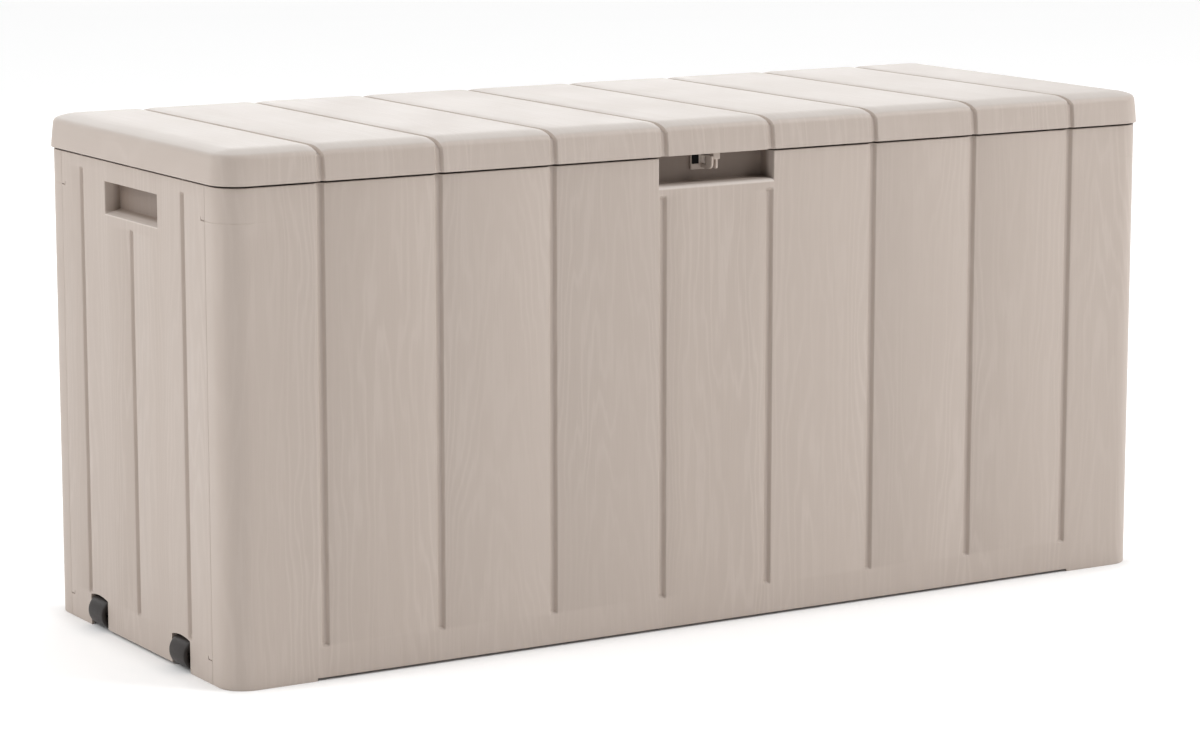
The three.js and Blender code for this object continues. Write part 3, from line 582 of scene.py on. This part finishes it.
def long_wall(is_front):
    stations = wall_stations(is_front)
    rows = wall_rows(is_front)

    def place(z, station, inner):
        (px, py), (nx, ny), x, chamfer = station
        depth = WALL if inner else chamfer
        if x is not None:
            depth += wall_groove(x, z, is_front)
            if is_front:
                grow = WALL if inner else 0.0
                beside = pocket_depth(abs(x) - RECESS_HALF - grow, RECESS_DEPTH)
                below = pocket_depth(RECESS_Z - grow - z, RECESS_DEPTH, SOFT_LIP)
                depth += min(beside, below)
        elif not inner:
            depth += MOULD_STEP * (abs(z - MOULD_LINE) < 0.2 * MM)
        back = edge_round(z, rows)
        depth += -back if inner else back
        lift = STEP_Z if x is not None and abs(x) < FOOT_X + 0.2 * MM else 0.0
        return (px - nx * depth, py - ny * depth, raise_foot(z, lift))

    def keep(i, j):
        a, b = stations[j][2], stations[j + 1][2]
        if is_front or a is None or b is None:
            return True
        x = (a + b) / 2
        z = (rows[i] + rows[i + 1]) / 2
        in_notch = min(abs(x - h) for h in HINGE_XS) < NOTCH_HALF and z > NOTCH_Z
        in_hole = (abs(z - SCREW_Z) < SCREW_HOLE
                   and any(abs(x - h - dx) < SCREW_HOLE for h in HINGE_XS for dx in SCREW_OFFSETS))
        return not (in_hole or in_notch)

    build = Plate(rows, stations, lambda z, s: place(z, s, False), lambda z, s: place(z, s, True), keep).build
    root = -BODY_Y + LEDGE_ROOT
    build.box((-LEDGE_HALF, root, LEDGE_LOW), (LEDGE_HALF, -BODY_Y + LEDGE_REACH, LEDGE_HIGH))
    for x in GUSSET_XS:
        build.box((x - GUSSET_HALF, root, GUSSET_LOW), (x + GUSSET_HALF, -BODY_Y + GUSSET_REACH, GUSSET_HIGH))
    return build


def back_wall():
    build = long_wall(is_front=False)
    build.points = [(-x, -y, z) for x, y, z in build.points]
    return build.object("wall_back", grain_long)


# ------------------------------------------------------------------ end walls
def snap_step(inward):
    """0 to 1 over a snap mark's steep edge."""
    return clamp01(inward / SNAP_EDGE)


def snap_mark(y, z):
    """Depth of the slot and hook edge beside each seam where an end wall snaps between the long walls."""
    off = SEAM_Y - abs(y)
    up = min((z - level for level in SNAP_ZS), key=abs)
    slot = snap_step(SNAP_SLOT[1] - off) * snap_step(off - SNAP_SLOT[0]) * snap_step(SLOT_HALF - abs(up))
    hook = snap_step(HOOK_HALF - abs(off - HOOK_MIDDLE))
    hook *= snap_step(up + SLOT_HALF) * snap_step(HOOK_TOP - up)
    return SNAP_DEPTH * max(slot, hook)


def end_columns(edge):
    marks = [y for g in END_GROOVES for y in groove_stations(g)]
    marks += [s * (edge - d) for s in (-1, 1) for d in (0.0, 0.5 * MM, 1.2 * MM)]
    marks += [s * (HANDLE_HALF + w + d) for s in (-1, 1) for w in (0, WALL) for d, _ in LIP]
    marks += [s * (ROLLER_Y + t * ARCH_HALF) for s in (-1, 1) for t in (-1, -0.8, -0.5, 0, 0.5, 0.8, 1)]
    snaps = [SNAP_SLOT[0], SNAP_SLOT[0] + SNAP_EDGE]
    snaps += [HOOK_MIDDLE + s * (HOOK_HALF - d) for s in (-1, 1) for d in (0.0, SNAP_EDGE)]
    return spread(marks + [s * (SEAM_Y - off) for s in (-1, 1) for off in snaps])


def end_rows():
    rows = FOOT_ROWS + [GROOVE_END_Z + d * GROOVE_RAMP for d in RAMP_ROWS]
    rows += [ARCH_Z, ARCH_Z + 0.7 * ARCH_FADE, ARCH_Z + ARCH_FADE] + MIDDLE_ROWS
    snaps = [-SLOT_HALF, -SLOT_HALF + SNAP_EDGE, SLOT_HALF - SNAP_EDGE, SLOT_HALF]
    snaps += [HOOK_TOP - SNAP_EDGE, HOOK_TOP]
    rows += [level + d for level in SNAP_ZS for d in snaps]
    rows += [HANDLE_LOW - RECESS_LAND - d * GROOVE_RAMP for d in RAMP_ROWS]
    rows += [HANDLE_LOW - w + d for w in (0, WALL) for d in SILL_ROWS]
    rows += [HANDLE_HIGH + w + d for w in (0, WALL) for d, _ in LIP]
    rows += [END_GROOVE_TOP - d * GROOVE_RAMP for d in RAMP_ROWS]
    return spread(rows + RIM_ROWS)


def end_wall(has_rollers):
    edge = SEAM_Y - GAP
    columns, rows = end_columns(edge), end_rows()
    arch = ROLLER_Y + ARCH_HALF + 0.01 * MM

    def place(z, y, inner):
        grow = WALL if inner else 0.0
        centre = nearest(y, END_GROOVES)
        upper = HANDLE_LOW - RECESS_LAND if centre == 0.0 else END_GROOVE_TOP
        along = groove_ramp(z - GROOVE_END_Z) * groove_ramp(upper - z)
        depth = grow + groove_depth(y - centre) * along
        sill = HANDLE_DEPTH * ease((z - HANDLE_LOW + grow + SILL_START) / SILL_RUN) ** 0.8
        beside = pocket_depth(abs(y) - HANDLE_HALF - grow, HANDLE_DEPTH)
        above = pocket_depth(z - HANDLE_HIGH - grow, HANDLE_DEPTH)
        depth += min(beside, above, sill)
        if not inner:
            off = abs(abs(y) - edge)  # the two columns next to the seam stand back, which rounds it
            depth += 0.4 * MM * (off < 0.1 * MM) + 0.1 * MM * (0.4 * MM < off < 0.6 * MM) + snap_mark(y, z)
        height = raise_foot(z, 0.0 if abs(y) > arch else STEP_Z)
        if has_rollers and z >= ARCH_Z - 0.01 * MM:
            off = min(1.0, abs(abs(y) - ROLLER_Y) / ARCH_HALF)
            height += ARCH_RISE * (1 - off * off) * (1 - ease((z - ARCH_Z) / ARCH_FADE))
        back = edge_round(z, rows)
        depth += -back if inner else back
        return (-BODY_X + depth, y, height)

    def keep(i, j):
        if not has_rollers:
            return True
        middle = (columns[j] + columns[j + 1]) / 2
        return rows[i + 1] > ARCH_Z + 0.01 * MM or abs(abs(middle) - ROLLER_Y) > ARCH_HALF

    build = Plate(rows, columns, lambda z, y: place(z, y, False), lambda z, y: place(z, y, True), keep).build
    inside = -BODY_X + WALL
    flange_root = (inside - 0.4 * MM, SEAM_Y - 12 * MM, edge)
    flange_tongue = (inside + GAP, SEAM_Y - 2 * MM, SEAM_Y + 11 * MM)  # reaches behind the long wall
    for side in (-1, 1):
        for x, y0, y1 in (flange_root, flange_tongue):
            a, b = (y0, y1) if side > 0 else (-y1, -y0)
            build.box((x, a, FLANGE_LOW), (inside + FLANGE_THICK, b, FLANGE_HIGH))
    if has_rollers:
        for y in (-ROLLER_Y, ROLLER_Y):
            roller_shoe(build, y)
    return build


def roller_shoe(build, y):
    """Two cheeks, a back and a roof behind the opening for a roller."""
    front, back = -BODY_X + WALL - 0.3 * MM, ROLLER_X + ROLLER_R + ROLLER_CLEARANCE
    low, roof = STEP_Z + 0.3 * MM, ROLLER_Z + ROLLER_R + ROLLER_CLEARANCE
    y0, y1 = y - ARCH_HALF, y + ARCH_HALF
    lap = 0.5 * MM
    build.box((front, y0 - WALL, low), (back + WALL, y0, roof + WALL))
    build.box((front, y1, low), (back + WALL, y1 + WALL, roof + WALL))
    build.box((back, y0 - lap, low), (back + WALL, y1 + lap, roof + WALL))
    build.box((front, y0 - lap, roof), (back + 1 * MM, y1 + lap, roof + WALL))


# ------------------------------------------------------------------ lid
def lid_stations():
    """Places round the lid: offsets from a groove, angles round a corner, or points along an end."""
    sx, sy = LENGTH / 2 - LID_CORNER_R, DEPTH / 2 - LID_CORNER_R
    offsets = [-m for m in LID_MARKS] + [0.0] + LID_MARKS[::-1]
    across = [(-sx, None)] + [(g, o) for g in GROOVES for o in offsets] + [(sx, None)]

    def arc(x, y, start):
        return [("arc", x, y, start + k / CORNER_STEPS * math.pi / 2) for k in range(1, CORNER_STEPS)]

    stations = [("front", g, o) for g, o in across] + arc(sx, -sy, -math.pi / 2)
    stations += [("end", 1, y) for y in (-sy, 0.0, sy)] + arc(sx, sy, 0.0)
    stations += [("back", g, o) for g, o in reversed(across)] + arc(-sx, sy, math.pi / 2)
    stations += [("end", -1, y) for y in (sy, 0.0, -sy)] + arc(-sx, -sy, math.pi)
    return stations, len(across)


def lid_rings(thickness):
    """Inset, height and tilt of each ring, from the skirt's edge to the flat top, for the lid's outer
    surface (thickness 0) or for its inner one."""
    edge_inset = LID_DRAFT + LID_ROUND * (1 - math.sin(BROW_ANGLE))
    brow = (BROW_INSET - edge_inset) * math.tan(BROW_ANGLE) / 2  # the bow's whole drop
    arc_z = TOP_Z - brow - LID_ROUND * math.cos(BROW_ANGLE)
    radius = LID_ROUND - thickness
    if thickness == 0:
        steps = 12
        rings = [(0.6 * MM, LID_Z, 0.0), (0.15 * MM, LID_Z + 0.3 * MM, 0.0), (0.0, LID_Z + 0.9 * MM, 0.0),
                 (LID_DRAFT * 0.5, SKIRT_ROW_Z, 0.0)]
    else:
        steps = 4
        rings = [(thickness - 0.5 * MM, LID_Z, 0.0), (thickness, LID_Z + 0.5 * MM, 0.0)]
    for k in range(steps + 1):
        a = k / steps * (math.pi / 2 - BROW_ANGLE)
        rings.append((LID_DRAFT + LID_ROUND - radius * math.cos(a), arc_z + radius * math.sin(a), a))
    for k in range(1, BROW_STEPS + 1):
        to_go = 1 - k / BROW_STEPS
        inset = edge_inset + (BROW_INSET - edge_inset) * k / BROW_STEPS
        slope = to_go * math.tan(BROW_ANGLE)
        z = TOP_Z - brow * to_go ** 2 - thickness * math.hypot(1, slope)
        rings.append((inset, z, math.pi / 2 - math.atan(slope)))
    return rings


def lid_point(station, inset, z, tilt):
    """A station's point on a ring. Grooves narrow as they turn over the edge."""
    kind, at, offset = station[:3]
    out, up = math.cos(tilt), math.sin(tilt)
    crowned = z + up * PLANK_CROWN
    if kind == "arc":
        turn, reach = station[3], LID_CORNER_R - inset
        return (at + reach * math.cos(turn), offset + reach * math.sin(turn), crowned)
    if kind == "end":
        return (at * (LENGTH / 2 - inset), offset, crowned)
    side = -1 if kind == "front" else 1
    if offset is None:
        return (at, side * (DEPTH / 2 - inset), crowned)
    cut = groove_depth(offset)
    far = clamp01((abs(offset) - NARROW_REACH) / NARROW_REACH)
    narrow = 1 - NARROWING * ease(up * 1.15) * (1 - far)
    rise = PLANK_CROWN * ease((abs(offset) - CROWN_START) / CROWN_RUN) * up
    return (at + offset * narrow, side * (DEPTH / 2 - inset - cut * out), z + rise - cut * up)


def lid():
    build = Build()
    stations, across = lid_stations()
    outer, inner = ([[lid_point(station, *ring) for station in stations] for ring in lid_rings(thickness)]
                    for thickness in (0.0, WALL))
    rows = inner[::-1] + outer  # from the underside of the top, down and round the skirt's edge, and up
    build.grid(rows, wrap_columns=True)

    # Close the underside and the top, each with a strip of quads from front to back and a cap at both ends.
    count = len(stations)
    back = next(j for j, station in enumerate(stations) if station[0] == "back")
    strip = [(i, i + 1, back + across - 2 - i, back + across - 1 - i) for i in range(across - 1)]
    right_cap = range(across - 1, back + 1)
    left_cap = [i % count for i in range(back + across - 1, count + 1)]
    for first, flip in ((0, True), ((len(rows) - 1) * count, False)):
        for face in (*strip, right_cap, left_cap):
            face = tuple(first + i for i in face)
            build.faces.append(tuple(reversed(face)) if flip else face)
    lid_ribs(build)
    return build.object("lid_shell", grain_lid, smooth_angle=32.0)


def lid_ribs(build):
    """Ribs under the top, the stops that meet the walls' rims, hinge knuckles and the hasp's boss."""
    half, bevel = 1.25 * MM, 0.4 * MM
    low, plank_low, stop_top = 549 * MM, 555 * MM, 552 * MM
    under_groove, under_plank, under_brow = HEIGHT - 7 * MM, HEIGHT - 2.5 * MM, HEIGHT - 10.5 * MM
    inner_y, outer_y = 200 * MM, 218 * MM  # the ribs get lower from inner_y, under the bowed edge
    reach_x = 568 * MM  # of the high ribs

    for x in GROOVES:
        build.box((x - half, -inner_y, low), (x + half, inner_y, under_groove), bevel)
        for y0, y1 in ((-outer_y, 1 * MM - inner_y), (inner_y - 1 * MM, outer_y)):
            build.box((x - half, y0, low), (x + half, y1, under_brow), bevel)
    edges = [-592 * MM] + GROOVES + [592 * MM]
    for y in (-130 * MM, 0.0, 130 * MM):
        for a, b in zip(edges, edges[1:]):
            build.box((a, y - half, low), (b, y + half, under_groove), bevel)
            x0, x1 = max(a + 8 * MM, -reach_x), min(b - 8 * MM, reach_x)
            build.box((x0, y - half, plank_low), (x1, y + half, under_plank), bevel)
        for s in (-1, 1):
            x0, x1 = sorted((s * 587 * MM, s * 596.4 * MM))
            build.box((x0, y - half, RIM_Z + GAP), (x1, y + half, stop_top), bevel)
    for x in (g for g in GROOVES if abs(g) > PLANK):
        build.box((x - half, -224 * MM, RIM_Z + 1.05 * MM), (x + half, -216 * MM, 550 * MM), bevel)
    y0, y1 = HINGE_Y - 2.5 * MM, HINGE_Y + 2.5 * MM
    for x in HINGE_XS:
        build.box((x - KNUCKLE_HALF, y0, HINGE_Z + 3 * MM), (x + KNUCKLE_HALF, y1, 555 * MM), 0.8 * MM)
        knuckle(build, x)
    build.box((-15 * MM, -227.3 * MM, 532 * MM), (17 * MM, -221 * MM, 552 * MM), 0.8 * MM)


def circle(sides):
    """(cosine, sine) of each corner of a regular polygon."""
    turns = [k / sides * 2 * math.pi for k in range(sides)]
    return [(math.cos(t), math.sin(t)) for t in turns]


def knuckle(build, x):
    """A bored barrel round the hinge's axis."""
    half, r, bevel = KNUCKLE_HALF, KNUCKLE_R, KNUCKLE_BEVEL
    profile = ((-half, KNUCKLE_BORE), (-half, r - bevel), (-half + bevel, r),
               (half - bevel, r), (half, r - bevel), (half, KNUCKLE_BORE))
    turn = circle(KNUCKLE_SIDES)
    rows = [[(x + dx, HINGE_Y + r * c, HINGE_Z + r * s) for c, s in turn] for dx, r in profile]
    build.grid(rows, wrap_rows=True, wrap_columns=True)


# ------------------------------------------------------------------ rollers, eye and hasp
def lathe(build, profile, centre, sides):
    """Turns a closed profile of (radius, along) round the Y axis through centre."""
    cx, cy, cz = centre
    rows = [[(cx + r * c, cy + along, cz + r * s) for c, s in circle(sides)] for r, along in profile]
    build.grid(rows, wrap_rows=True, wrap_columns=True)


def roller(name, y):
    build = Build()
    h = ROLLER_HALF
    # Pairs of (radius in mm, place along the axle), from the bore over the hub, into the recess with the
    # spokes, and over the rim to the tread's middle.
    hub = [(3.25, h), (6.2, h), (7.0, h - 0.8 * MM), (7.2, h - 5 * MM)]
    rim = [(12.6, h - 5 * MM), (13.0, h - 0.8 * MM), (13.6, h - 0.1 * MM), (14.6, h)]
    turn = [k / 6 * math.pi / 2 for k in range(7)]
    shoulder = [(15.0 + 2.8 * math.sin(t), h - 2.8 * MM * (1 - math.cos(t))) for t in turn]
    tread = [(17.93, h - 6 * MM), (18.0, h - 13 * MM)]
    half_profile = [(r * MM, along) for r, along in hub + rim + shoulder + tread]
    profile = half_profile + [(r, -along) for r, along in reversed(half_profile)]
    lathe(build, profile, (ROLLER_X, y, ROLLER_Z), ROLLER_SIDES)
    for s in (-1, 1):
        for c, sn in circle(6):
            spoke = Build()
            y0, y1 = sorted((s * (h - 5.4 * MM), s * (h - 1.2 * MM)))
            spoke.box((6.5 * MM, y0, -0.8 * MM), (13.2 * MM, y1, 0.8 * MM), 0.3 * MM)
            turned = [(ROLLER_X + px * c - pz * sn, y + py, ROLLER_Z + px * sn + pz * c)
                      for px, py, pz in spoke.points]
            build.add(turned, spoke.faces)
    return build.object(name, roller_plastic)


def extruded(build, outline, hole, x0, x1):
    """A plate across X from outline and an inner hole with as many points, both as (y, z) rings."""
    bevel, outline_size, hole_size = 0.5 * MM, 12 * MM, 6 * MM  # the bevels pull towards the hole's middle
    cy, cz = np.mean(hole, axis=0)
    layers = ((x0, bevel), (x0 + bevel, 0.0), (x1 - bevel, 0.0), (x1, bevel))
    rows = []
    for x, d in layers:
        rows.append([(x, y + (cy - y) * d / outline_size, z + (cz - z) * d / outline_size)
                     for y, z in outline])
    for x, d in reversed(layers):
        rows.append([(x, y - (cy - y) * d / hole_size, z - (cz - z) * d / hole_size) for y, z in hole])
    build.grid(rows, wrap_rows=True, wrap_columns=True)


def ring_of(corners, radii):
    """A rounded polygon of (y, z) points, anticlockwise."""
    points = []
    count = len(corners)
    for k, (corner, radius) in enumerate(zip(corners, radii)):
        here = np.array(corner)
        before = np.array(corners[k - 1]) - here
        after = np.array(corners[(k + 1) % count]) - here
        a = here + before / np.linalg.norm(before) * radius
        b = here + after / np.linalg.norm(after) * radius
        for t in np.linspace(0, 1, 8):
            points.append(tuple((1 - t) ** 2 * a + 2 * t * (1 - t) * here + t * t * b))
    return points


def padlock_eye():
    build = Build()
    nose = EYE_FACE - EYE_REACH
    corners = [(nose, EYE_LOW), (EYE_FACE, EYE_LOW), (EYE_FACE, EYE_HIGH), (nose, EYE_HIGH)]
    outline = ring_of(corners, [7 * MM, 0.6 * MM, 0.6 * MM, 2 * MM])
    y0, y1, z0, z1 = EYE_FACE - 13.5 * MM, EYE_FACE - 3.5 * MM, EYE_LOW + 4.5 * MM, EYE_HIGH - 2 * MM
    hole = ring_of([(y0, z0), (y1, z0), (y1, z1), (y0, z1)], [0.8 * MM] * 4)
    extruded(build, outline, hole, -6.5 * MM, -3.5 * MM)
    build.box((-19 * MM, EYE_FACE - WALL, EYE_LOW - 2 * MM), (-0.5 * MM, EYE_FACE, EYE_HIGH), 0.8 * MM)
    return build.object("eye_plate", inner_plastic)


def make_eye_hole_shade():
    """A black square over the eye's screw: painted shade that stands for a dark hole into the box."""
    build = Build()
    foot = EYE_FACE - WALL
    build.box((-18.3 * MM, foot - 1.6 * MM, 514.5 * MM), (-9.7 * MM, foot - 0.1 * MM, 524.5 * MM), 0.4 * MM)
    return build.object("eye_hole_shade", hole_shade_black)


def hasp():
    """A plate behind the lid's skirt, a block below it, and the tongue that hangs beside the eye."""
    build = Build()
    face = -DEPTH / 2 + 9.35 * MM
    front, back = face - 4 * MM, face + WALL
    build.box((-13 * MM, face, 530 * MM), (15 * MM, back, 552 * MM), 0.6 * MM)
    build.box((-3.5 * MM, front, 520.5 * MM), (5.5 * MM, back, 531 * MM), 0.7 * MM)
    build.box((-0.4 * MM, front, 510.5 * MM), (2.4 * MM, face + 1 * MM, 521.4 * MM), 0.5 * MM)
    return build.object("hasp_tongue", inner_plastic)


# ------------------------------------------------------------------ the pieces
front = long_wall(is_front=True).object("wall_front", grain_long)
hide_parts("front_panel", "finger_recess")
back = back_wall()
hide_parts("back_panel")
left = end_wall(has_rollers=True).object("wall_left", grain_end)
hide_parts("left_end_panel")
right_build = end_wall(has_rollers=False)
right_build.points = [(-x, -y, z) for x, y, z in right_build.points]
right = right_build.object("wall_right", grain_end)
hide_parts("right_end_panel")
eye = padlock_eye()
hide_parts("padlock_eye")
hole_shade = make_eye_hole_shade()
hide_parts("padlock_eye_screw")
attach(hole_shade, "box")
for piece in (front, back, left, right, eye):
    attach(piece, "box")

lid_piece = lid()
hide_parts("lid")
hasp_piece = hasp()
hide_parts("lid_hasp")
for piece in (lid_piece, hasp_piece):
    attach(piece, "lid")

for where, y in (("front", -ROLLER_Y), ("back", ROLLER_Y)):
    piece = roller(f"roller_{where}_tread", y)
    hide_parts(f"roller_{where}")
    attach(piece, f"{where}_roller")

for node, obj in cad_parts.items():
    finish = inner_plastic if node.startswith(("floor", "hinge_bracket")) else steel
    for slot in obj.material_slots:
        slot.material = finish


# ------------------------------------------------------------------ floor, light and camera
FLOOR_SIZE, FLOOR_GLOW = 14.0, 0.22
# The floor glows as a fill light, and its glow fades out near and under the walls: painted shade round the
# box's foot.
GLOW_START, GLOW_FULL = -12 * MM, 30 * MM  # outside the walls: the floor is darker right under them
BACKDROP_SIDE = (0.42, 0.80, 0.42)  # towards its brightest part
BACKDROP_EDGES, BACKDROP_STRENGTH = (-0.45, 0.25), (0.08, 0.98)
LIGHTS = (  # name, place, target, size and watts
    ("behind", (1.2, 5.0, 1.8), (0, 0, 0.5), (6.0, 1.6), 60),
    ("front_right", (3.2, -3.2, 3.9), (0.2, 0, 0.3), (2.0, 2.0), 133),
    ("front_left", (-1.5, -5.0, 4.6), (0.0, 0, 0.3), (2.4, 2.4), 10),
    ("left", (-4.4, 0.2, 3.4), (-0.5, 0, 0.2), (2.0, 2.0), 70),
)
CAMERA_AT = (-2.2405, -3.6720, 1.0048)
CAMERA_TILT, CAMERA_TURN = math.radians(90 - 9.896), math.radians(-31.268)
CAMERA_SENSOR, CAMERA_LENS = 36.0, 113.34  # mm
WHITE = (1.0, 1.0, 1.0, 1)


def studio_floor():
    build = Build()
    corners = [(x * FLOOR_SIZE, y * FLOOR_SIZE, 0) for x, y in ((-1, -1), (1, -1), (1, 1), (-1, 1))]
    build.add(corners, [(0, 1, 2, 3)])
    m = Nodes("studio_floor", roughness=0.75, specular=0.2)
    x, y, z = m.coords()
    soft = m.noise(m.vector(x, y, z), 1.5, 2.0)
    color = m.mix_color(soft, (0.92, 0.92, 0.92, 1), (0.94, 0.94, 0.94, 1))
    outside = m.math("MAXIMUM", m.sub(m.abs(x), BODY_X), m.sub(m.abs(y), BODY_Y))
    m.shader.inputs["Emission Color"].default_value = WHITE
    # Less glow close to the walls: painted shade.
    m.put(m.shader.inputs["Emission Strength"], m.remap(outside, GLOW_START, GLOW_FULL, 0.0, FLOOR_GLOW))
    floor = build.object("studio_floor", m.finish(color), (0, 0, 0))


def area_light(name, location, target, size, power):
    data = bpy.data.lights.new(name, "AREA")
    data.shape = "RECTANGLE"
    data.size, data.size_y = size
    data.energy = power
    light = bpy.data.objects.new(name, data)
    bpy.context.collection.objects.link(light)
    light.location = location
    direction = np.array(target) - np.array(location)
    light.rotation_euler = Vector(direction).to_track_quat("-Z", "Y").to_euler()


def studio_world():
    """White backdrop that is brightest behind the box and above it, and dimmer on the viewer's side."""
    world = bpy.data.worlds.new("studio")
    bpy.context.scene.world = world
    world.use_nodes = True
    tree = world.node_tree
    direction = tree.nodes.new("ShaderNodeTexCoord")
    turned = tree.nodes.new("ShaderNodeVectorMath")
    turned.operation = "DOT_PRODUCT"
    turned.inputs[1].default_value = BACKDROP_SIDE
    ramp = tree.nodes.new("ShaderNodeMapRange")
    for socket, value in zip(ramp.inputs[1:], BACKDROP_EDGES + BACKDROP_STRENGTH):
        socket.default_value = value
    background = tree.nodes["Background"]
    background.inputs["Color"].default_value = WHITE
    tree.links.new(direction.outputs["Generated"], turned.inputs[0])
    tree.links.new(turned.outputs["Value"], ramp.inputs[0])
    tree.links.new(ramp.outputs[0], background.inputs["Strength"])


def studio_camera():
    data = bpy.data.cameras.new("camera")
    data.sensor_width, data.lens = CAMERA_SENSOR, CAMERA_LENS
    camera = bpy.data.objects.new("camera", data)
    bpy.context.collection.objects.link(camera)
    camera.location = CAMERA_AT
    camera.rotation_euler = (CAMERA_TILT, 0, CAMERA_TURN)
    return camera


studio_floor()
studio_world()
for light in LIGHTS:
    area_light(*light)
camera = studio_camera()
bpy.context.scene.camera = camera
bpy.context.scene.view_settings.view_transform = "Standard"
